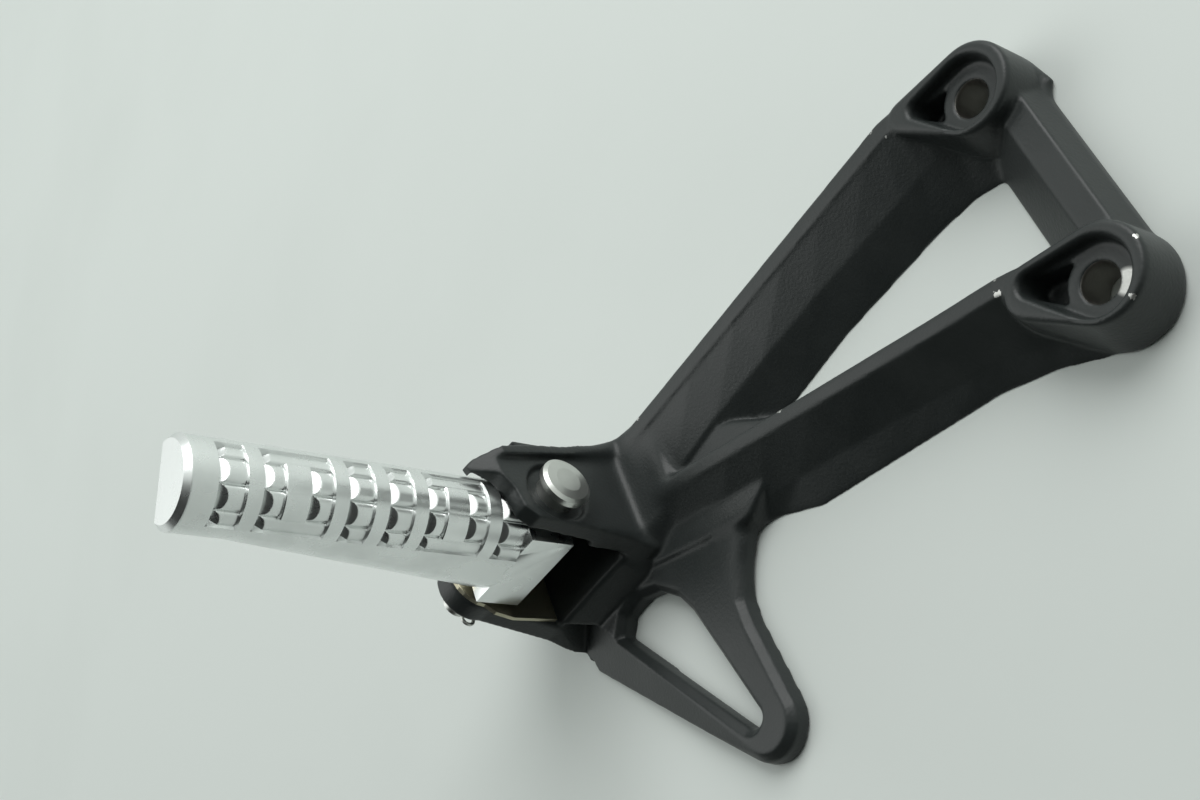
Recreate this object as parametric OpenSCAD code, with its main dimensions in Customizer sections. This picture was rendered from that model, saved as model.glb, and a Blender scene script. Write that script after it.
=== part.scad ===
// Passenger footrest hanger with a folding footpeg.
// Origin on the mounting face at the axis of the first bolt hole.
// +X runs along the bolt holes, +Y up along the pivot pin, +Z outboard along the peg.

/* [Mounting] */
// Distance between the two bolt holes
hole_spacing = 56; // [50:0.5:64]
// Diameter of each bolt hole
hole_d = 8.5; // [6.5:0.1:9]
// Chamfer at the mouth of each bolt hole
hole_chamfer = 0.35; // [0.1:0.05:0.6]
// Radius of the seat under each bolt head
seat_r = 7.5; // [6.5:0.1:8]
// Height of the bolt seat above the mounting face
seat_h = 11; // [8:0.5:12]
// Height of the boss rim above the mounting face
rim_h = 15; // [13.5:0.5:18]
// Outer radius of the boss at its rim
rim_r = 10.4; // [10:0.1:12]
// Outer radius of the boss at the mounting face
boss_foot_r = 12.4; // [12:0.1:14]
// Wall of the boss round its pocket
rim_wall = 2.5; // [2:0.1:2.8]
// Thickness of the floor under the boss pockets
pocket_floor = 4.5; // [3:0.5:7]

/* [Arms] */
// Distance from the bolt holes down to the foot of the arms
arm_length = 130; // [120:1:150]
// Height of the arms where they meet the hub
arm_hub_h = 11; // [10:0.5:12.5]
// Width of the flat ridge on the upright arm
ridge_w = 5; // [4:0.25:7]
// Width of the flat ridge on the slanted arm
slant_ridge_w = 4.6; // [4:0.1:7]
// Height of the crease on the upright arm
crease_h = 8; // [6:0.5:9]
// Height of the crease on the slanted arm
slant_crease_h = 4.5; // [3:0.5:6]
// Height of the cross bar between the bosses
bar_h = 10.5; // [8:0.5:12]
// Thickness of the web in the crotch of the arms
web_h = 7; // [5:0.5:9]

/* [Clevis] */
// Distance from the bolt holes down to the peg axis
peg_drop = 149.5; // [145:0.5:160]
// Sideways offset of the peg axis from the first bolt hole
peg_x = 10.5; // [8:0.5:13]
// Height of the pivot pin above the mounting face
pivot_h = 36.5; // [34:0.5:40]
// Height of the hub under the clevis
hub_h = 14; // [12:0.5:16]
// Thickness of the upper ear
upper_ear_t = 7.3; // [6:0.1:9]
// Thickness of the lower ear
lower_ear_t = 6.5; // [5:0.1:8]
// Height of the pointed tip of the upper ear
ear_tip_h = 58.5; // [54:0.5:60]
// Radius of the lower ear round the pin
lower_ear_r = 9.3; // [8.5:0.1:11]
// Thickness of the wall that stops the peg
stop_wall_t = 6.5; // [4:0.5:8]
// Radius of the spot face round the pin head
spot_r = 8.6; // [8:0.1:9.5]
// Depth of the spot face round the pin head
spot_depth = 1.2; // [0.5:0.1:2]

/* [Heel loop] */
// Thickness of the heel loop
loop_h = 6; // [4:0.5:8]
// Slope across each edge of the heel loop
loop_edge = 2; // [1:0.1:2.6]
// Reach of the tip of the heel loop from the first bolt hole
loop_reach = 79; // [72:1:90]
// Drop of the tip of the heel loop below the bolt holes
loop_drop = 126; // [122:1:130]
// Radius of the tip of the heel loop
loop_tip_r = 10.3; // [9:0.1:12]

/* [Footpeg] */
// Radius of the tread
peg_r = 11; // [10:0.1:12]
// Height of the end of the peg above the mounting face
peg_end_h = 133; // [122:1:146]
// Chamfer round the end of the peg
peg_chamfer = 1.4; // [0.5:0.1:2]
// Distance of the flat underside behind the peg axis
flat_depth = 4.1; // [3:0.1:6]
// Depth that the underside gains towards the clevis
flare = 8.4; // [6:0.1:9]
// Direction of the middle of the tread, turned from up
tread_turn = 33; // [20:1:45]
// Pitch of the grip rings
ring_pitch = 10.64; // [10:0.02:11]
// Width of the crest of each grip ring
ring_w = 4; // [3:0.1:5]
// Depth of the recesses between the rings at the lobe crests
lobe_depth = 0.8; // [0.4:0.1:1.2]
// Further depth of the grooves between the lobes
groove_depth = 0.9; // [0.4:0.1:1.5]
// Angle that each lobe takes
lobe_angle = 36.5; // [30:0.5:40]
// Thickness of the tang between its two side faces
tang_w = 20.1; // [18:0.1:21]
// Height of the tang between the ears
tang_t = 27.3; // [25:0.1:28]
// Reach of the tang past the pin
tang_reach = 7; // [5.5:0.1:8]

/* [Pivot] */
// Radius of the pivot pin
pin_r = 4; // [3:0.1:5]
// Radius of the head of the pivot pin
pin_head_r = 7; // [6:0.1:8]
// Thickness of the head of the pivot pin
pin_head_t = 3; // [2:0.1:4]
// Radius of the collar under the pin head
pin_collar_r = 5.4; // [5:0.1:6.5]
// Length of the collar under the pin head
pin_collar_t = 3.6; // [2:0.1:5]
// Thickness of the washer below the lower ear
washer_t = 1.2; // [0.8:0.1:2]
// Outer radius of the washer
washer_r = 7; // [6:0.1:8]
// Radius of the split pin's doubled wire
split_r = 0.8; // [0.6:0.05:1]
// Thickness of the detent plate
plate_t = 1.2; // [0.8:0.1:1.5]
// Radius of the detent ball
ball_r = 2.4; // [2:0.1:2.6]
// Distance of the detent ball from the pin axis
ball_reach = 7.4; // [7:0.1:7.6]

/* [Fits] */
// Radial clearance of the pin in its bores
pin_fit = 0.06; // [0.02:0.01:0.1]
// Clearance between the tang and the upper ear
tang_gap = 0.35; // [0.25:0.05:0.6]
// Clearance of the detent ball in its bore
ball_fit = 0.08; // [0.02:0.01:0.1]
// Gap at the stop face and under loose hardware
rest_gap = 0.25; // [0.1:0.05:0.4]

/* [Hidden] */
$fn = 64;
eps = 0.01;
black = [0.07, 0.07, 0.075];
silver = [0.86, 0.87, 0.86];

// Clevis faces, measured along the pin
peg_y = -peg_drop;
tang_top = peg_y + peg_r - 3.1;
tang_bottom = tang_top - tang_t;
upper_ear_low = tang_top + tang_gap;
upper_ear_top = upper_ear_low + upper_ear_t;
plate_top = tang_bottom - 2.4;
lower_ear_top = plate_top - plate_t;
lower_ear_low = lower_ear_top - lower_ear_t;
tang_left = peg_x - tang_w / 2 + 0.05;
tang_right = tang_left + tang_w;
stop_x = tang_left - 2.6;

// Blend between two values or points
function mix(a, b, t) = a + (b - a) * t;

// Points of an arc, counted from angle a to angle b
function arc(c, r, a, b, n) =
    [for (i = [0:n]) c + r * [cos(mix(a, b, i / n)), sin(mix(a, b, i / n))]];

// Outline round two circles, with as many points for every pair of circles
function teardrop(c1, r1, c2, r2) =
    let (d = c2 - c1, turn = atan2(d[1], d[0]), half = acos((r1 - r2) / norm(d)))
    concat(arc(c1, r1, turn + half, turn + 360 - half, 24),
           arc(c2, r2, turn - half, turn + half, 10));

// Unit normal of the edge from p to q, on its right-hand side
function edge_normal(p, q) = let (d = q - p) [d[1], -d[0]] / norm(d);

// Outline moved inwards by d, for points that run counter-clockwise
function inset(points, d) =
    let (n = len(points))
    [for (i = [0:n - 1])
        let (a = edge_normal(points[(i + n - 1) % n], points[i]),
             b = edge_normal(points[i], points[(i + 1) % n]))
        points[i] - d * (a + b) / (1 + a * b)];

// Solid through a row of sections with the same number of points
module loft(sections) {
    n = len(sections[0]);
    last = len(sections) - 1;
    sides = [for (i = [0:last - 1], k = [0:n - 1])
        let (a = i * n + k, b = i * n + (k + 1) % n) each [[a, a + n, b], [b, a + n, b + n]]];
    caps = [[for (k = [0:n - 1]) k], [for (k = [n - 1:-1:0]) last * n + k]];
    polyhedron([for (s = sections) each s], concat(caps, sides), convexity = 8);
}

// Solid whose outline shrinks with height: each level is [height, inset]
module tapered(points, levels) {
    loft([for (l = levels) [for (p = inset(points, l[1])) [p[0], p[1], l[0]]]]);
}

// Slab between two heights along the pin, from an outline in X and Z
module slab(points, low, high) {
    translate([0, high, 0]) rotate([90, 0, 0]) linear_extrude(high - low) polygon(points);
}

// Straight rod along the pin axis
module along_pin(r, low, high) {
    translate([peg_x, high, pivot_h]) rotate([90, 0, 0]) cylinder(h = high - low, r = r);
}

/* Bosses */
// Body of a boss: circle c1 round the bolt, circle c2 where the arm leaves
module boss(x, tail, tail_r) {
    rim_shift = [0, 2];
    rim_round = 0.9;
    function outline(t, d) = teardrop([x, 0] + rim_shift * (1 - t), mix(rim_r, boss_foot_r, t) - d,
                                      tail, tail_r + 2.2 * t - d);
    loft([for (l = [[0, 1, 0], [rim_h - rim_round, 0.1, 0],
                    [rim_h - rim_round / 3, 0, 0.35 * rim_round], [rim_h, 0, rim_round]])
        [for (p = outline(l[1], l[2])) [p[0], p[1], l[0]]]]);
}

// Pocket of a boss, which leaves the raised bolt seat standing
module boss_pocket(x, tail, tail_r) {
    draft = 0.7;
    pocket_r = rim_r - rim_wall;
    function outline(r, grow) = teardrop([x, 0.6], r + grow, tail, tail_r + grow);
    loft([for (l = [[seat_h, 0], [rim_h - 0.8, draft / 2], [rim_h + eps, draft + 0.5]])
        [for (p = outline(pocket_r, l[1])) [p[0], p[1], l[0]]]]);
    difference() {
        loft([for (h = [pocket_floor, seat_h + eps])
            [for (p = outline(seat_r - 1.5, 0)) [p[0], p[1], h]]]);
        translate([x, 0, 0]) cylinder(h = rim_h, r = seat_r);
    }
}

module bolt_hole(x) {
    translate([x, 0, -eps]) cylinder(h = rim_h + 1, r = hole_d / 2);
    translate([x, 0, seat_h - hole_chamfer])
        cylinder(h = hole_chamfer + eps, r1 = hole_d / 2, r2 = hole_d / 2 + hole_chamfer);
}

// Bar between the bosses, with a sloped lower face
module cross_bar() {
    section = [[-8.4, 0], [11, 0], [11, 3], [8.8, bar_h], [2.5, bar_h]];
    sunk = 4;
    translate([sunk, 0, 0]) rotate([90, 0, 90])
        linear_extrude(hole_spacing - 2 * sunk) polygon(section);
}

// Little locating tab on the back edge of the first boss
module nib() {
    linear_extrude(2.6)
        polygon([[-2, 10], [9, 7], [9.5, 10.6], [6.1, 12.2], [5.1, 13.6], [-1.4, 12.3]]);
}

/* Arms */
// Height of the ridge of both arms at a place y
function ridge_h(y) = mix(rim_h - 0.4, arm_hub_h, min(1, max(0, (-y - 20) / (arm_length - 20))));

// One section of the upright arm
function upright_section(y) =
    let (left = lookup(y, [[-arm_length - 6, -8.6], [-20, -12.7], [-12, -11.5], [-4, -8.5]]),
         right = left + ridge_w,
         crease = lookup(y, [[-120, 11], [-100, 7.6], [-60, 4.2], [-30, 3.1], [-18, 2], [-4, 3]]),
         foot = lookup(y, [[-120, 20], [-80, 16.2], [-60, 13.3], [-28, 11.9], [-16, 12.4], [-9, 14.5], [-4, 15]]))
    [[left - 3.2, 0], [foot, 0], [crease, crease_h], [right, ridge_h(y) - 0.5],
     [right - 0.6, ridge_h(y)], [left + 0.4, ridge_h(y)], [left, ridge_h(y) - 0.6]];

// One section of the slanted arm
function slant_section(y) =
    let (left = lookup(y, [[-arm_length - 6, 8], [-33, 36.2], [-14, 41], [0, 47]]),
         right = left + slant_ridge_w,
         crease = lookup(y, [[-arm_length - 6, 25], [-100, 33.2], [-57, 42.8], [-30, 49.7], [-12, 56], [0, 60]]),
         foot = lookup(y, [[-arm_length - 6, 33], [-100, 38.4], [-88, 44], [-47, 51.6], [-35, 53.8],
                           [-21, 58.7], [-12, 63.6], [-5, 66.4], [0, 66.4]]))
    [[left - 4, 0], [foot, 0], [crease, slant_crease_h], [right, ridge_h(y) - 0.5],
     [right - 0.6, ridge_h(y)], [left + 0.4, ridge_h(y)], [left, ridge_h(y) - 0.6]];

module upright_arm() {
    loft([for (y = [-4, -9, -16, -20, -28, -45, -60, -80, -100, -120, -arm_length - 6])
        [for (p = upright_section(y)) [p[0], y, p[1]]]]);
}

module slant_arm() {
    loft([for (y = [0, -5, -12, -16, -21, -28, -35, -47, -57, -72, -88, -100, -115, -arm_length - 6])
        [for (p = slant_section(y)) [p[0], y, p[1]]]]);
}

// Web in the crotch of the arms, hollowed towards the bolt holes
module web() {
    points = [[-9, -140], [26, -140], [36, -105], [24, -80], [20.7, -80],
              [17, -89], [10.9, -97.5], [5.7, -107], [-0.9, -121], [-6, -133]];
    tapered(points, [[0, -1], [web_h - 0.8, 0], [web_h, 0.8]]);
}

/* Hub and clevis */
// One section of the hub, which rises from the arms to the clevis
function hub_section(y) =
    let (top = lookup(y, [[peg_y + 6, hub_h], [peg_y + 16.8, arm_hub_h + 1], [-126, arm_hub_h - 0.4]]),
         right = lookup(y, [[lower_ear_low, 24.5], [-150, 23], [-141, 23], [-134, 20.5], [-120, 16]]),
         foot = lookup(y, [[lower_ear_low, 30.5], [-150, 29.5], [-120, 30]]))
    [[-12.8, 0], [foot, 0], [right, top - 0.8], [right - 0.8, top], [-9, top], [-9.8, top - 0.8]];

module hub() {
    loft([for (y = [-120, -126, -130, peg_y + 16.8, peg_y + 6, peg_y - 3, peg_y - 15, lower_ear_low + 0.3])
        [for (p = hub_section(y)) [p[0], y, p[1]]]]);
}

function upper_ear_points() =
    [[-10.5, 8], [24.5, 8], [22.2, hub_h], [19.3, 39.2], [19.1, 44.4], [16.3, 48.2],
     [10.9, 49.5], [6.3, 52.6], [3.6, ear_tip_h - 0.8], [1.8, ear_tip_h], [0.3, ear_tip_h - 1.6],
     [-2.5, 43.6], [-4.2, 30], [-7.2, 19]];

function lower_ear_points() =
    concat([[-10.5, 8], [27, 8], [24.3, hub_h]],
           arc([peg_x, pivot_h], lower_ear_r, -8, 150, 16),
           [[-4.2, 30], [-7.2, 19]]);

// Wall on the closed side of the clevis, with the face that stops the peg
module stop_wall() {
    slab([[-9, 8], [6, 8], [stop_x + 2, hub_h + 3], [stop_x, 26], [stop_x, 44],
          [stop_x - stop_wall_t * 0.4, 46], [-5, 30]], lower_ear_low, upper_ear_top);
    slab([[stop_x - 1, last_lobe - 3.2], [tang_left - rest_gap, last_lobe - 2.4],
          [tang_left - rest_gap, last_lobe - 0.5], [stop_x - 1, last_lobe + 2]],
         lower_ear_top - eps, upper_ear_low + eps);
}

// Raised rim that carries the ridge of the arm up the edge of the ear
module ear_rim() {
    slab([[-10.5, 10], [-5, 10], [-2, 26], [1.6, 50], [2.4, ear_tip_h - 2], [0.3, ear_tip_h - 2],
          [-2.5, 43.6], [-4.2, 30], [-7.2, 19]], upper_ear_low, upper_ear_top + 1.8);
}

/* Heel loop */
function loop_outline() =
    concat([[26, -116], [20, -150], [24, -177.5], [34, -177.5]],
           arc([loop_reach, -loop_drop], loop_tip_r, -50, 84, 14),
           [[57, -117.6], [50.5, -117.3], [43, -112.8], [37.5, -108], [31, -107.5]]);

function loop_hole() =
    concat([[34, -160.5]], arc([loop_reach - 3, 4 - loop_drop - 7.4], 2.6, -50, 80, 6),
           [[43, -134.8], [37, -137.5], [31.5, -143], [29, -150], [30, -157]]);

module heel_loop() {
    difference() {
        tapered(loop_outline(), [[0, 0], [loop_h - loop_edge, 0.6], [loop_h, 0.6 + loop_edge]]);
        tapered(loop_hole(), [[-eps, 0], [loop_h - loop_edge, -0.3], [loop_h + eps, -0.3 - loop_edge]]);
    }
}

// The rough casting: all its forms as one skin, as high as the tip of the ear
module casting() {
    resize([0, 0, ear_tip_h]) difference() {
        union() {
            boss(0, [-8.4, -14], 3.8);
            boss(hole_spacing, [hole_spacing - 7.5, -11.5], 6);
            cross_bar();
            nib();
            upright_arm();
            slant_arm();
            web();
            hub();
            slab(upper_ear_points(), upper_ear_low, upper_ear_top);
            slab(lower_ear_points(), lower_ear_low, lower_ear_top);
            ear_rim();
            stop_wall();
            heel_loop();
        }
        boss_pocket(0, [-6.6, -10], 1.7);
        boss_pocket(hole_spacing, [hole_spacing - 8.4, -10.6], 2.4);
    }
}

module bracket() {
    color(black) difference() {
        casting();
        bolt_hole(0);
        bolt_hole(hole_spacing);
        along_pin(pin_r + pin_fit, lower_ear_low - 1, upper_ear_top + 1);
        along_pin(spot_r, upper_ear_top - spot_depth, upper_ear_top + 4);
    }
}

/* Footpeg */
first_ring = peg_end_h - 7.7;
last_lobe = first_ring - 7.78 * ring_pitch;

// Depth that the underside gains at height z
function flare_at(z) = flare * min(1, max(0, (peg_end_h - 14 - z) / 72));

// Crest of the lobes and grooves at angle a, measured from the middle of the tread
function lobe_r(a) =
    let (f = abs(a / lobe_angle - floor(a / lobe_angle) - 0.5) * 2)
    peg_r - lobe_depth - groove_depth * pow(f, 4);

// Steps of the grip along the peg: [height, crest of the full rings, crest of the pads]
function ring_steps(i) =
    let (z = first_ring - i * ring_pitch, pad = (i == 2 || i == 6))
    pad ? [[z + 5.8, 0, 0], [z + 5.5, 0, 1], [z - 0.9, 0, 1], [z - 3.4, 0, 0]]
        : [[z + ring_w + 0.4, 0, 0], [z + ring_w, 1, 1], [z + 0.6 * ring_w, 1, 1], [z, 1, 1],
           [z - 0.6, 0.8, 0.8], [z - 3.3, 0, 0]];

// Radius of the tread at angle a for one step
function tread_r(a, step) =
    let (crest = abs(a) < lobe_angle - 0.1 ? step[2] : step[1])
    abs(a) > 58 ? peg_r : mix(lobe_r(a), peg_r, crest);

// One section of the peg: tread, flat underside and flare
function peg_section(step, shrink) =
    let (corner = acos(-flat_depth / peg_r),
         angles = concat([-corner, -96, -80, -66, -58.5], [for (f = [-57.9, -49, -42, -38]) f],
                         [for (s = [-1, 0], f = [0, 0.1, 0.3, 0.5, 0.7, 0.9]) (s + f) * lobe_angle],
                         [lobe_angle, 38, 42, 49, 57.9, 58.5]))
    concat([for (a = angles)
                let (r = tread_r(a, step) - shrink, d = a + tread_turn, y = r * cos(d))
                [r * sin(d), min(y, ear_limit(d, step[0])), step[0]]],
           [for (d = [98, 107, 116, 126, 136, tread_turn + corner])
                [(peg_r - shrink) * sin(d), (peg_r - shrink) * cos(d) - flare_at(step[0]), step[0]]]);

// Height to which the tread is cut away to pass the upper ear
function ear_limit(d, z) =
    let (cut = d < -20 ? ear_tip_h + 1.5 : d < -2 ? pivot_h + 16.8 : pivot_h + 14)
    z < cut ? tang_top - peg_y : 2 * peg_r;

module tread() {
    steps = concat([for (i = [0:7]) each (i == 0 ? [for (k = [3:5]) ring_steps(0)[k]] : ring_steps(i))],
                   [[last_lobe, 0, 0]]);
    sections = concat([peg_section([peg_end_h, 1, 1], peg_chamfer),
                       peg_section([peg_end_h - peg_chamfer, 1, 1], 0)],
                      [for (s = steps) peg_section(s, 0)]);
    translate([peg_x, peg_y, 0]) loft(sections);
}

// Tang between the ears, rounded where its heel swings past the wall
module tang() {
    heel = arc([peg_x, pivot_h], tang_w / 2 - 0.1, 180, 238, 8);
    top = last_lobe + 5;
    slab(concat([[tang_left, top]], heel,
                [[peg_x, pivot_h - tang_reach - 1.2], [tang_right, pivot_h - tang_reach], [tang_right, top]]),
         tang_bottom, tang_top);
}

module footpeg() {
    color(silver) difference() {
        union() {
            tread();
            tang();
        }
        along_pin(pin_r + pin_fit, tang_bottom - 1, tang_top + 8);
        ball_bore();
    }
}

/* Pivot hardware */
module pivot_pin() {
    head_low = upper_ear_top - spot_depth + pin_collar_t;
    tail = lower_ear_low - rest_gap - washer_t - 4.2;
    color(silver) difference() {
        union() {
            along_pin(pin_r, tail, head_low);
            along_pin(pin_collar_r, upper_ear_top - spot_depth, head_low);
            translate([peg_x, head_low, pivot_h]) rotate([-90, 0, 0]) rotate_extrude()
                polygon([[0, 0], [pin_head_r - 0.4, 0], [pin_head_r, 0.4], [pin_head_r, pin_head_t - 1],
                         [pin_head_r - 1, pin_head_t - 0.3], [pin_head_r / 2, pin_head_t], [0, pin_head_t]]);
        }
        translate([peg_x - 8, split_y(), pivot_h]) rotate([0, 90, 0]) cylinder(h = 16, r = split_r + 0.1);
    }
}

function split_y() = lower_ear_low - rest_gap - washer_t - 0.3 - split_r;

module pin_washer() {
    color(silver) difference() {
        along_pin(washer_r, lower_ear_low - rest_gap - washer_t, lower_ear_low - rest_gap);
        along_pin(pin_r + 0.3, lower_ear_low - 4, lower_ear_low + 1);
    }
}

// Split pin with its eye on the +X side and one leg bent round the pin
module split_pin() {
    eye_r = 1.7;
    color(silver) {
        translate([peg_x - 6, split_y(), pivot_h]) rotate([0, 90, 0]) cylinder(h = 11.2, r = split_r, $fn = 24);
        translate([peg_x + 5 + eye_r, split_y(), pivot_h]) rotate([90, 0, 0])
            rotate_extrude($fn = 32) translate([eye_r, 0]) circle(r = split_r / 2 + 0.1, $fn = 16);
    }
}

module detent_plate() {
    color([0.78, 0.72, 0.5]) difference() {
        slab(concat([[tang_left + 1.6, hub_h + 1.2], [tang_right + 1.7, hub_h + 1.2],
                     [tang_right + 2.3, pivot_h - 7], [tang_right + 1, pivot_h - 1.5]],
                    arc([peg_x, pivot_h], tang_w / 2 - 1, 8, 172, 12), [[tang_left + 0.3, pivot_h - 1.5]]),
             lower_ear_top, plate_top);
        along_pin(pin_r + 0.3, lower_ear_top - 1, plate_top + 1);
    }
}

// Centre of the detent ball in X and Z
function ball_spot() = [peg_x - ball_reach * cos(45), pivot_h + ball_reach * sin(45)];

module ball_bore() {
    translate([ball_spot()[0], tang_bottom + 14, ball_spot()[1]]) rotate([90, 0, 0])
        cylinder(h = 15, r = ball_r + ball_fit);
}

module detent_ball() {
    color(silver) translate([ball_spot()[0], plate_top + 0.1 + ball_r, ball_spot()[1]]) sphere(r = ball_r);
}

module detent_spring() {
    spring_low = plate_top + 0.1 + 2 * ball_r;
    color(silver) translate([ball_spot()[0], tang_bottom + 14, ball_spot()[1]]) rotate([90, 0, 0])
        difference() {
            cylinder(h = tang_bottom + 14 - spring_low, r = ball_r - 0.1);
            translate([0, 0, -1]) cylinder(h = 20, r = ball_r - 0.7);
        }
}

bracket();
footpeg();
pivot_pin();
pin_washer();
split_pin();
detent_plate();
detent_ball();
detent_spring();
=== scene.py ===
"""Passenger footrest hanger, satin black casting with a polished folding footpeg."""

import math

import bpy
import numpy as np
from mathutils import Matrix, Vector


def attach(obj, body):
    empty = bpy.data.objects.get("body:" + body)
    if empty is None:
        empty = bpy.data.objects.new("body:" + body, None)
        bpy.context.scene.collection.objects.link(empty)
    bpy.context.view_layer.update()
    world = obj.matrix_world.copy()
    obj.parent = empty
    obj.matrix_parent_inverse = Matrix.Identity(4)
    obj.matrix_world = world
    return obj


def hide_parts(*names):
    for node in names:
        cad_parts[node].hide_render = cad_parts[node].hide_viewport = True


# Camera, from the photograph's viewing angle
IMAGE_W = 1200
FOCAL_PX = 1453.3
SENSOR_MM = 36.0
CAMERA_PLACE = Vector((0.2077, 0.0840, 0.2552))
CAMERA_RIGHT = Vector((0.300, 0.556, -0.775))
CAMERA_DOWN = Vector((0.758, -0.632, -0.160))
CAMERA_FORWARD = Vector((-0.579, -0.540, -0.611))

# Finishes
# The slight teal tint of both coat colours is a painted reflection of the room
COAT_BLACK = (0.021, 0.025, 0.0245, 1)
COAT_WORN = (0.034, 0.039, 0.038, 1)
BARE_CAST = (0.52, 0.52, 0.50, 1)
BORE_METAL = (0.30, 0.29, 0.27, 1)
ALUMINIUM = (0.86, 0.88, 0.87, 1)
ZINC = (0.62, 0.63, 0.60, 1)
# Yellow zinc of the detent plate, toned down and greyed as painted shade
YELLOW_ZINC_IN_SHADE = (0.50, 0.47, 0.35, 1)
FLOOR_PALE = (0.71, 0.755, 0.725, 1)
FLOOR_STAIN = (0.60, 0.64, 0.61, 1)
ROOM_PALE = (0.69, 0.735, 0.71, 1)

# Sizes of the peg and its clevis, in millimetres
MM = 0.001
PEG_X = 10.5
PEG_DROP = 149.5
PIVOT_H = 36.5
PEG_R = 11.0
PEG_END = 133.0
TREAD_LOW = 42.45
TREAD_TURN = 33.0
LOBE_ANGLE = 36.5
FIRST_RING = 125.3
RING_PITCH = 10.64
EAR_LOW = -141.25

# Large fillets of the casting: centre and radius in millimetres, and how often it is smoothed
FILLETS = [
    ((8, -133, 12), 19, 130),
    ((22, -122, 10), 12, 40),
    ((41, -110, 5), 13, 120),
]

# Softening of the casting, in metres where it is a length
SKIN_GRAIN = 0.00045
SKIN_SMOOTHING = 9
BASE_HEIGHT = 0.0032
BASE_SMOOTHING = 40
MOST_TRIANGLES = 190000

# Light levels
KEY_RADIANCE = 3.2
SIDE_RADIANCE = 1.1
AMBIENT = 0.72

# Bolt holes, in metres
BOLT_HOLES = (0.0, 0.056)
BOLT_HOLE_R = 0.00425

# Places on the casting where the coating is knocked off, with their radii, in metres
CHIPS = [
    ((-0.0125, -0.0225, 0.0149), 0.0010),
    ((-0.0075, -0.0195, 0.0149), 0.0008),
    ((0.0405, -0.0165, 0.0150), 0.0009),
    ((0.0440, -0.0175, 0.0148), 0.0010),
    ((-0.0092, -0.1215, 0.0112), 0.0012),
    ((0.0235, -0.0790, 0.0128), 0.0011),
    ((0.0248, -0.1415, 0.0140), 0.0012),
    ((0.0560, 0.0122, 0.0148), 0.0008),
    ((0.0655, 0.0050, 0.0150), 0.0009),
    ((0.0880, -0.1320, 0.0045), 0.0009),
]
SCRAPED_SEAT = ((0.0600, 0.0045, 0.0110), 0.0032)


def new_material(name):
    material = bpy.data.materials.new(name)
    material.use_nodes = True
    nodes = material.node_tree.nodes
    return material, nodes, material.node_tree.links, nodes["Principled BSDF"]


def new_group(name, inputs, outputs):
    """A node group with float inputs and the outputs given as (name, socket type)."""
    group = bpy.data.node_groups.new(name, "ShaderNodeTree")
    for label, value in inputs:
        socket = group.interface.new_socket(label, in_out="INPUT", socket_type="NodeSocketFloat")
        socket.default_value = value
    for label, kind in outputs:
        group.interface.new_socket(label, in_out="OUTPUT", socket_type=kind)
    start = group.nodes.new("NodeGroupInput")
    end = group.nodes.new("NodeGroupOutput")
    return group, start, end


def place_group(nodes, group, values):
    node = nodes.new("ShaderNodeGroup")
    node.node_tree = group
    for label, value in values.items():
        node.inputs[label].default_value = value
    return node


def noise(nodes, links, vector, scale, detail):
    node = nodes.new("ShaderNodeTexNoise")
    node.inputs["Detail"].default_value = detail
    if isinstance(scale, (int, float)):
        node.inputs["Scale"].default_value = scale
    else:
        links.new(scale, node.inputs["Scale"])
    links.new(vector, node.inputs["Vector"])
    return node.outputs["Fac"]


def remap(nodes, links, value, low, high, new_low, new_high):
    node = nodes.new("ShaderNodeMapRange")
    links.new(value, node.inputs["Value"])
    for label, number in (("From Min", low), ("From Max", high), ("To Min", new_low), ("To Max", new_high)):
        if isinstance(number, (int, float)):
            node.inputs[label].default_value = number
        else:
            links.new(number, node.inputs[label])
    return node.outputs["Result"]


def mix_colours(nodes, links, mask, first, second):
    node = nodes.new("ShaderNodeMix")
    node.data_type = "RGBA"
    links.new(mask, node.inputs["Factor"])
    for socket, colour in ((node.inputs["A"], first), (node.inputs["B"], second)):
        if isinstance(colour, tuple):
            socket.default_value = colour
        else:
            links.new(colour, socket)
    return node.outputs["Result"]


def math_node(nodes, links, operation, first, second):
    node = nodes.new("ShaderNodeMath")
    node.operation = operation
    for socket, value in zip(node.inputs, (first, second)):
        if isinstance(value, (int, float)):
            socket.default_value = value
        else:
            links.new(value, socket)
    return node.outputs["Value"]


def cast_grain_group():
    """Fine grain of a cast or coated surface: a height and a slow mottling."""
    group, start, end = new_group(
        "cast_grain", [("Grain Scale", 1500.0), ("Mottle Scale", 60.0)],
        [("Height", "NodeSocketFloat"), ("Mottle", "NodeSocketFloat")])
    nodes, links = group.nodes, group.links
    place = nodes.new("ShaderNodeTexCoord").outputs["Object"]
    fine = noise(nodes, links, place, start.outputs["Grain Scale"], 3.0)
    slow = noise(nodes, links, place, start.outputs["Mottle Scale"], 4.0)
    links.new(fine, end.inputs["Height"])
    links.new(slow, end.inputs["Mottle"])
    return group


def chips_group():
    """Mask of the small places where the coating is gone, with ragged edges."""
    group, start, end = new_group("coating_chips", [("Edge Scale", 1400.0)], [("Mask", "NodeSocketFloat")])
    nodes, links = group.nodes, group.links
    place = nodes.new("ShaderNodeTexCoord").outputs["Object"]
    edge = noise(nodes, links, place, start.outputs["Edge Scale"], 2.0)
    total = None
    for centre, radius in CHIPS:
        far = nodes.new("ShaderNodeVectorMath")
        far.operation = "DISTANCE"
        links.new(place, far.inputs[0])
        far.inputs[1].default_value = centre
        reach = remap(nodes, links, edge, 0.3, 0.7, radius * 0.4, radius * 1.2)
        inside = math_node(nodes, links, "LESS_THAN", far.outputs["Value"], reach)
        total = inside if total is None else math_node(nodes, links, "MAXIMUM", total, inside)
    links.new(total, end.inputs["Mask"])
    return group


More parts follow.
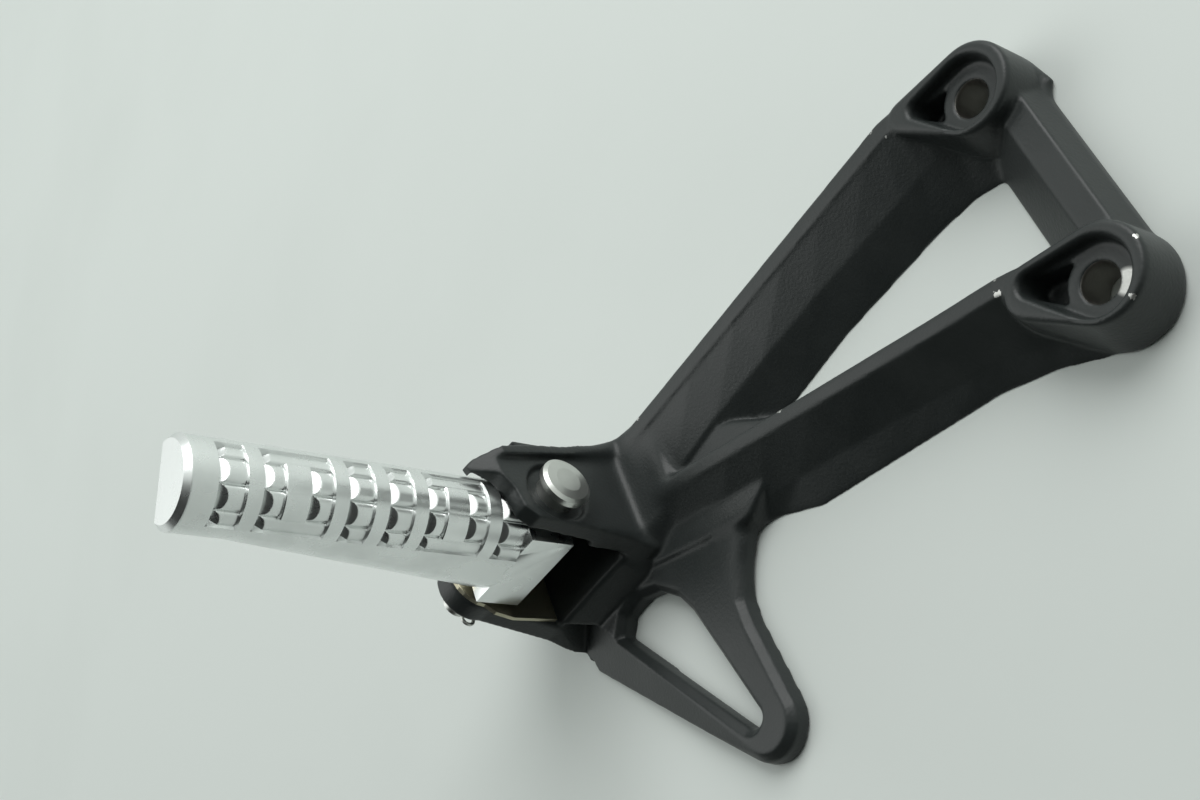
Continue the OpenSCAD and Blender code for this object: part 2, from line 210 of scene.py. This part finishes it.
def bored_wall(nodes, links, place):
    """Mask of the machined walls of the two bolt holes."""
    flat = nodes.new("ShaderNodeVectorMath")
    flat.operation = "MULTIPLY"
    links.new(place, flat.inputs[0])
    flat.inputs[1].default_value = (1.0, 1.0, 0.0)
    total = None
    for x in BOLT_HOLES:
        far = nodes.new("ShaderNodeVectorMath")
        far.operation = "DISTANCE"
        links.new(flat.outputs["Vector"], far.inputs[0])
        far.inputs[1].default_value = (x, 0.0, 0.0)
        inside = math_node(nodes, links, "LESS_THAN", far.outputs["Value"], BOLT_HOLE_R + 0.0002)
        total = inside if total is None else math_node(nodes, links, "MAXIMUM", total, inside)
    return total


def coated_casting(grain, chips):
    """Satin black powder coat over cast aluminium, chipped at its corners."""
    material, nodes, links, surface = new_material("satin_black_coat")
    speckle = place_group(nodes, grain, {"Grain Scale": 1300.0, "Mottle Scale": 70.0})
    knocks = place_group(nodes, chips, {"Edge Scale": 1400.0})
    place = nodes.new("ShaderNodeTexCoord").outputs["Object"]
    rubbed = remap(nodes, links, speckle.outputs["Mottle"], 0.45, 0.75, 0.0, 0.35)
    coat = mix_colours(nodes, links, rubbed, COAT_BLACK, COAT_WORN)
    scrape = nodes.new("ShaderNodeVectorMath")
    scrape.operation = "DISTANCE"
    links.new(place, scrape.inputs[0])
    scrape.inputs[1].default_value = SCRAPED_SEAT[0]
    patch = remap(nodes, links, scrape.outputs["Value"], SCRAPED_SEAT[1], SCRAPED_SEAT[1] * 0.7, 0.0, 1.0)
    bare = math_node(nodes, links, "MAXIMUM", knocks.outputs["Mask"], patch)
    bore = bored_wall(nodes, links, place)
    coat = mix_colours(nodes, links, bare, coat, BARE_CAST)
    bare = math_node(nodes, links, "MAXIMUM", bare, bore)
    links.new(mix_colours(nodes, links, bore, coat, BORE_METAL), surface.inputs["Base Color"])
    rough = remap(nodes, links, speckle.outputs["Mottle"], 0.3, 0.7, 0.36, 0.46)
    links.new(rough, surface.inputs["Roughness"])
    links.new(bare, surface.inputs["Metallic"])
    surface.inputs["Specular IOR Level"].default_value = 0.4
    bump = nodes.new("ShaderNodeBump")
    bump.inputs["Strength"].default_value = 0.6
    bump.inputs["Distance"].default_value = 0.00012
    links.new(speckle.outputs["Height"], bump.inputs["Height"])
    links.new(bump.outputs["Normal"], surface.inputs["Normal"])
    return material


def bright_metal(name, grain, colour, rough_low, rough_high, bump_height):
    """Bare bright metal with faint handling marks."""
    material, nodes, links, surface = new_material(name)
    speckle = place_group(nodes, grain, {"Grain Scale": 900.0, "Mottle Scale": 120.0})
    surface.inputs["Metallic"].default_value = 1.0
    dull = tuple(c * 0.86 for c in colour[:3]) + (1,)
    shade = remap(nodes, links, speckle.outputs["Mottle"], 0.4, 0.7, 0.0, 0.6)
    links.new(mix_colours(nodes, links, shade, colour, dull), surface.inputs["Base Color"])
    rough = remap(nodes, links, speckle.outputs["Mottle"], 0.3, 0.7, rough_low, rough_high)
    links.new(rough, surface.inputs["Roughness"])
    bump = nodes.new("ShaderNodeBump")
    bump.inputs["Strength"].default_value = 0.2
    bump.inputs["Distance"].default_value = bump_height
    links.new(speckle.outputs["Height"], bump.inputs["Height"])
    links.new(bump.outputs["Normal"], surface.inputs["Normal"])
    return material


def painted_floor():
    """White painted bench, faintly stained."""
    material, nodes, links, surface = new_material("pale_bench")
    place = nodes.new("ShaderNodeTexCoord").outputs["Object"]
    stain = remap(nodes, links, noise(nodes, links, place, 6.0, 5.0), 0.45, 0.75, 0.0, 0.25)
    links.new(mix_colours(nodes, links, stain, FLOOR_PALE, FLOOR_STAIN), surface.inputs["Base Color"])
    surface.inputs["Roughness"].default_value = 0.6
    surface.inputs["Specular IOR Level"].default_value = 0.3
    return material


def deselect():
    if bpy.context.object and bpy.context.object.mode != "OBJECT":
        bpy.ops.object.mode_set(mode="OBJECT")
    bpy.ops.object.select_all(action="DESELECT")


def take_up(piece):
    """Makes piece the one selected object."""
    deselect()
    piece.select_set(True)
    bpy.context.view_layer.objects.active = piece


def merged_copy(node, name, gap):
    """A copy of a CAD node with its loose triangles joined into one skin."""
    piece = node.copy()
    piece.data = node.data.copy()
    piece.name = piece.data.name = name
    piece.parent = None
    for key in list(piece.keys()):
        if key.startswith("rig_"):
            del piece[key]
    bpy.context.scene.collection.objects.link(piece)
    take_up(piece)
    bpy.ops.object.mode_set(mode="EDIT")
    bpy.ops.mesh.select_all(action="SELECT")
    bpy.ops.mesh.remove_doubles(threshold=gap)
    bpy.ops.mesh.normals_make_consistent(inside=False)
    bpy.ops.object.mode_set(mode="OBJECT")
    if piece.data.has_custom_normals:
        bpy.ops.mesh.customdata_custom_splitnormals_clear()
    return piece


def apply_modifier(piece, kind, **settings):
    take_up(piece)
    modifier = piece.modifiers.new(kind.lower(), kind)
    for label, value in settings.items():
        setattr(modifier, label, value)
    bpy.ops.object.modifier_apply(modifier=modifier.name)


def dress(piece, material, body, node):
    piece.data.materials.clear()
    piece.data.materials.append(material)
    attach(piece, body)
    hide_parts(node)


def cut_by(piece, cutter, operation="DIFFERENCE"):
    """Cuts piece by cutter, or joins it, and deletes the cutter."""
    apply_modifier(piece, "BOOLEAN", object=cutter, operation=operation, solver="EXACT")
    bpy.data.objects.remove(cutter, do_unlink=True)


def face_outwards(piece):
    take_up(piece)
    bpy.ops.object.mode_set(mode="EDIT")
    bpy.ops.mesh.select_all(action="SELECT")
    bpy.ops.mesh.normals_make_consistent(inside=False)
    bpy.ops.object.mode_set(mode="OBJECT")


def block(low, high):
    """A box between two corners given in millimetres."""
    deselect()
    bpy.ops.mesh.primitive_cube_add(size=1.0)
    box = bpy.context.object
    for vertex in box.data.vertices:
        vertex.co = [MM * (low[k] if vertex.co[k] < 0 else high[k]) for k in range(3)]
    return box


def pin_cylinder(radius, low, high):
    """A cylinder on the pin axis, between two places along it, in millimetres."""
    deselect()
    bpy.ops.mesh.primitive_cylinder_add(vertices=96, radius=radius * MM, depth=(high - low) * MM)
    rod = bpy.context.object
    for vertex in rod.data.vertices:
        across, up, along = vertex.co
        vertex.co = (PEG_X * MM + across, (low + high) / 2 * MM + along, PIVOT_H * MM + up)
    face_outwards(rod)
    return rod


def relief_cutter():
    """Room under the upper ear, in which the lobes of the tread swing."""
    ring = pin_cylinder(22.0, EAR_LOW - 0.3, EAR_LOW + 2.1)
    cut_by(ring, pin_cylinder(5.8, EAR_LOW - 1.0, EAR_LOW + 3.0))
    cut_by(ring, block((2.2, EAR_LOW - 2, 25.5), (40, EAR_LOW + 4, 80)), "INTERSECT")
    return ring


def sloped_cutter(start, end, fall, above, reach, spare, back=0):
    """A block on the side above of a plane that holds the line from start to end and falls towards fall.

    It reaches that far from the plane, is longer than the line by spare, and starts back behind the line.
    """
    start, end, fall = (Vector(v) for v in (start, end, fall))
    along = (end - start).normalized()
    down = (fall - start - along * (fall - start).dot(along)).normalized()
    up = along.cross(down)
    if up.dot(Vector(above)) < 0:
        up = -up
    deselect()
    bpy.ops.mesh.primitive_cube_add(size=1.0)
    box = bpy.context.object
    middle = (start + end) / 2
    for vertex in box.data.vertices:
        a = vertex.co[0] * ((end - start).length + spare)
        b = (vertex.co[1] + 0.5) * 2 * reach - back
        c = (vertex.co[2] + 0.5) * reach
        vertex.co = (middle + along * a + down * b + up * c) * MM
    face_outwards(box)
    return box


def vertex_places(piece):
    """The places of a mesh's vertices, one row each."""
    places = np.empty(len(piece.data.vertices) * 3)
    piece.data.vertices.foreach_get("co", places)
    return places.reshape(-1, 3)


def soften(piece, centre, radius, iterations):
    """Smooths the skin near a place, as a large fillet in the mould does."""
    group = piece.vertex_groups.new(name="fillet")
    far = np.linalg.norm(vertex_places(piece) - np.array(centre) * MM, axis=1) / (radius * MM)
    weights = np.clip((1.0 - far) * 2.5, 0.0, 1.0)
    for step in range(1, 11):
        chosen = np.nonzero(np.round(weights * 10) == step)[0]
        if len(chosen):
            group.add(chosen.tolist(), step / 10, "REPLACE")
    apply_modifier(piece, "SMOOTH", factor=0.5, iterations=iterations, vertex_group="fillet")
    piece.vertex_groups.clear()


def round_base_edge(piece):
    """Smooths the outline of the mounting face, away from the bolt holes and the ear."""
    group = piece.vertex_groups.new(name="base")
    x, y, z = vertex_places(piece).T
    clear = np.min([np.hypot(x - hole, y) for hole in BOLT_HOLES], axis=0) > 2 * BOLT_HOLE_R
    chosen = np.nonzero(clear & (z < BASE_HEIGHT) & (y > -0.150))[0]
    group.add(chosen.tolist(), 1.0, "REPLACE")
    apply_modifier(piece, "SMOOTH", factor=0.5, iterations=BASE_SMOOTHING, vertex_group="base")
    piece.vertex_groups.clear()


def cast_bracket(frame, material):
    """The casting with the soft edges that a mould and a thick coat leave."""
    piece = merged_copy(frame["nodes"]["bracket"], "cast_bracket", 0.00001)
    cut_by(piece, relief_cutter())
    cut_by(piece, sloped_cutter((32, -163.0, 6.05), (79, -134.5, 6.05), (38.4, -171.0, 2.2),
                                above=(0, 0, 1), reach=14, spare=24))
    cut_by(piece, sloped_cutter((2.6, -134.0, 52.6), (7.3, -134.0, 51.8), (3.4, -138.5, 57.5),
                                above=(0, 1, 1), reach=14, spare=14, back=5))
    apply_modifier(piece, "REMESH", mode="VOXEL", voxel_size=SKIN_GRAIN, adaptivity=0.0)
    apply_modifier(piece, "SMOOTH", factor=0.5, iterations=SKIN_SMOOTHING)
    round_base_edge(piece)
    for centre, radius, iterations in FILLETS:
        soften(piece, centre, radius, iterations)
    faces = sum(len(face.vertices) - 2 for face in piece.data.polygons)
    apply_modifier(piece, "DECIMATE", ratio=min(1.0, MOST_TRIANGLES / faces))
    bpy.ops.object.shade_smooth()
    dress(piece, material, "hanger", "bracket")
    return piece


def lobe_skin(a):
    """Radius of the skin between the rings at angle a from the middle of the tread."""
    f = np.abs(a / LOBE_ANGLE - np.floor(a / LOBE_ANGLE) - 0.5) * 2
    return 10.25 - 0.3 * f ** 2 - 0.75 * f ** 10


def facet_skin(a, depth):
    """Flat facet that falls by depth from the crest of each lobe."""
    middle = (np.floor(a / LOBE_ANGLE) + 0.5) * LOBE_ANGLE
    return (10.15 - depth) / np.cos(np.radians(a - middle))


def tread_skin(a, z):
    """Radius of the tread at angle a and height z, with its rings, pads and facets."""
    skin = lobe_skin(a)
    crest = np.zeros_like(a)
    for i in range(8):
        low = FIRST_RING - i * RING_PITCH
        pad = i in (2, 6)
        start = low - 0.9 if pad else low
        end = 200.0 if i == 0 else (low + 5.5 if pad else low + 4.0)
        wide = np.abs(a) < (LOBE_ANGLE - 0.8 if pad else 90.0)
        step = np.clip((z - start) / 0.2 + 0.5, 0, 1) * np.clip((end - z) / 0.2 + 0.5, 0, 1)
        crest = np.maximum(crest, np.where(wide, step * (0.93 if pad else 1.0), 0.0))
        near = (z > start - 2.5) & (z < start + 0.2) & (np.abs(a) < (LOBE_ANGLE if pad else 58.0))
        cut = facet_skin(a, np.clip(z - (start - 2.5), 0, 2.5) * 0.62)
        skin = np.where(near, np.minimum(skin, cut), skin)
    full = PEG_R + 0 * a
    grip = skin + (full - skin) * crest
    edge = np.clip((58.0 - np.abs(a)) / 1.2, 0, 1)
    return full + (grip - full) * edge


def tread_point(u, z):
    """Place on the outline of the peg at share u of the way round, in millimetres."""
    corner = math.degrees(math.acos(-4.1 / PEG_R))
    shrink = np.clip(z - (PEG_END - 1.4), 0, 1.4)
    flare = 8.4 * np.clip((PEG_END - 14 - z) / 72, 0, 1)
    a = np.interp(u, [0.0, 0.76], [-corner, 58.5])
    r = tread_skin(a, z) - shrink
    d = np.radians(a + TREAD_TURN)
    round_x, round_y = r * np.sin(d), r * np.cos(d)
    under = np.radians(np.interp(u, [0.80, 0.92], [98.0, corner + TREAD_TURN]))
    low_x, low_y = (PEG_R - shrink) * np.sin(under), (PEG_R - shrink) * np.cos(under) - flare
    first = np.radians(-corner + TREAD_TURN)
    first_x, first_y = (PEG_R - shrink) * np.sin(first), (PEG_R - shrink) * np.cos(first)
    side = np.clip((u - 0.76) / 0.04, 0, 1)
    flat = np.clip((u - 0.92) / 0.08, 0, 1)
    x = np.where(u <= 0.8, round_x + (low_x - round_x) * side, low_x + (first_x - low_x) * flat)
    y = np.where(u <= 0.8, round_y + (low_y - round_y) * side, low_y + (first_y - low_y) * flat)
    return x, y


def grip_tread():
    """The tread, rolled up from a flat grid and closed at both ends."""
    around, along = 190, 400
    deselect()
    bpy.ops.mesh.primitive_grid_add(x_subdivisions=around, y_subdivisions=along, size=1.0)
    piece = bpy.context.object
    places = vertex_places(piece)
    u = places[:, 0] + 0.5
    z = TREAD_LOW + (PEG_END - TREAD_LOW) * (places[:, 1] + 0.5)
    x, y = tread_point(u, z)
    places = np.stack([x + PEG_X, y - PEG_DROP, z], axis=1) * MM
    piece.data.vertices.foreach_set("co", places.ravel())
    take_up(piece)
    bpy.ops.object.mode_set(mode="EDIT")
    bpy.ops.mesh.select_all(action="SELECT")
    bpy.ops.mesh.remove_doubles(threshold=0.00002)
    bpy.ops.mesh.fill_holes(sides=0)
    bpy.ops.mesh.select_all(action="SELECT")
    bpy.ops.mesh.normals_make_consistent(inside=False)
    bpy.ops.object.mode_set(mode="OBJECT")
    bpy.ops.object.shade_smooth_by_angle(angle=math.radians(26))
    return piece


def peg_tang(frame):
    """The tang between the ears, cut from a copy of the solid where the tread begins."""
    piece = merged_copy(frame["nodes"]["footpeg"], "peg_tang", 0.00001)
    bpy.ops.object.mode_set(mode="EDIT")
    bpy.ops.mesh.select_all(action="SELECT")
    bpy.ops.mesh.bisect(plane_co=(0, 0, (TREAD_LOW + 0.05) * MM), plane_no=(0, 0, 1), clear_outer=True,
                        use_fill=True)
    bpy.ops.object.mode_set(mode="OBJECT")
    apply_modifier(piece, "BEVEL", width=0.0004, segments=3, limit_method="ANGLE",
                   angle_limit=math.radians(50), use_clamp_overlap=True)
    bpy.ops.object.shade_smooth_by_angle(angle=math.radians(30))
    return piece


def polished_peg(frame, material):
    """The footpeg: its grip tread and its tang."""
    for name, piece in (("peg_grip", grip_tread()), ("peg_tang", peg_tang(frame))):
        piece.name = piece.data.name = name
        dress(piece, material, "peg", "footpeg")


def add_floor(material):
    deselect()
    bpy.ops.mesh.primitive_plane_add(size=6.0, location=(0.0, 0.0, 0.0))
    floor = bpy.context.object
    floor.name = "bench_top"
    floor.data.materials.append(material)


def add_lamp(name, direction, distance, size, radiance):
    """A round soft box whose face shines at the given radiance."""
    target = Vector((0.03, -0.08, 0.03))
    data = bpy.data.lights.new(name, "AREA")
    data.shape = "DISK"
    data.size = size
    data.energy = radiance * (math.pi * size / 2) ** 2
    lamp = bpy.data.objects.new(name, data)
    bpy.context.scene.collection.objects.link(lamp)
    away = Vector(direction).normalized()
    lamp.location = target + away * distance
    lamp.rotation_euler = away.to_track_quat("Z", "Y").to_euler()


def add_dark_card(material):
    """Unlit side of the room: a card that only the reflections and shadows see."""
    deselect()
    bpy.ops.mesh.primitive_grid_add(x_subdivisions=8, y_subdivisions=6, size=1.0)
    card = bpy.context.object
    card.name = "dark_room_side"
    for vertex in card.data.vertices:
        across, up = vertex.co.x + 0.5, vertex.co.y + 0.5
        turn = math.radians(-92 + 32 * up + (150 - 32 * up) * across)
        lift = math.radians(1 + 74 * up)
        vertex.co = Vector((math.cos(turn) * math.cos(lift), math.sin(turn) * math.cos(lift), math.sin(lift))) * 1.5
        vertex.co += Vector((0.03, -0.08, 0.0))
    card.data.materials.append(material)
    card.visible_camera = False


def dark_room_shade():
    """Black sheet that stands for the unlit side of the room, painted shade in the reflections."""
    material, _, _, surface = new_material("dark_room_shade")
    surface.inputs["Base Color"].default_value = (0.025, 0.025, 0.025, 1)
    surface.inputs["Roughness"].default_value = 1.0
    return material


def add_world():
    """Pale room for the camera and for reflections, dimmer as a source of light."""
    world = bpy.data.worlds.new("soft_room")
    bpy.context.scene.world = world
    world.use_nodes = True
    nodes, links = world.node_tree.nodes, world.node_tree.links
    background = nodes["Background"]
    background.inputs["Color"].default_value = ROOM_PALE
    path = nodes.new("ShaderNodeLightPath")
    seen = math_node(nodes, links, "MAXIMUM", path.outputs["Is Camera Ray"], path.outputs["Is Glossy Ray"])
    seen = math_node(nodes, links, "MAXIMUM", seen, path.outputs["Is Transmission Ray"])
    links.new(remap(nodes, links, seen, 0.0, 1.0, AMBIENT, 1.0), background.inputs["Strength"])


def add_camera():
    data = bpy.data.cameras.new("camera")
    data.sensor_width = SENSOR_MM
    data.lens = FOCAL_PX * SENSOR_MM / IMAGE_W
    data.clip_start = 0.01
    camera = bpy.data.objects.new("camera", data)
    turn = Matrix((CAMERA_RIGHT, -CAMERA_DOWN, -CAMERA_FORWARD)).transposed()
    camera.matrix_world = Matrix.Translation(CAMERA_PLACE) @ turn.to_4x4()
    bpy.context.scene.collection.objects.link(camera)
    bpy.context.scene.camera = camera


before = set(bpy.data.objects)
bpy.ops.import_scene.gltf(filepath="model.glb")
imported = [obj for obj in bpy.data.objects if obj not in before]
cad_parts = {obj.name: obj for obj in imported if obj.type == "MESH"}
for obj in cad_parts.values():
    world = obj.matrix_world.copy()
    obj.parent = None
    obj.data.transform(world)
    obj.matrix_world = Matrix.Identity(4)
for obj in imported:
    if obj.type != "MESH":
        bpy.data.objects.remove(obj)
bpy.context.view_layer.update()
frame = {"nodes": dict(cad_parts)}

grain = cast_grain_group()
coat = coated_casting(grain, chips_group())
polish = bright_metal("polished_aluminium", grain, ALUMINIUM, 0.24, 0.32, 0.00001)
zinc = bright_metal("zinc_plate", grain, ZINC, 0.28, 0.4, 0.00001)
# The detent plate's colour holds painted shade as well as its yellow zinc
yellow = bright_metal("yellow_zinc_plate_in_shade", grain, YELLOW_ZINC_IN_SHADE, 0.3, 0.45, 0.00001)

cast_bracket(frame, coat)
polished_peg(frame, polish)
for name in ("pivot_pin", "pin_washer", "split_pin", "detent_ball", "detent_spring"):
    frame["nodes"][name].data.materials[0] = zinc
frame["nodes"]["detent_plate"].data.materials[0] = yellow

add_floor(painted_floor())
# A black sheet as painted shade on the unlit side of the room
add_dark_card(dark_room_shade())
add_lamp("window_upper", (-0.5, 0.6, 0.62), 1.6, 1.5, KEY_RADIANCE)
add_lamp("window_left", (-0.308, -0.533, 0.788), 1.6, 1.35, SIDE_RADIANCE)
add_world()
add_camera()

bpy.context.scene.view_settings.view_transform = "Standard"
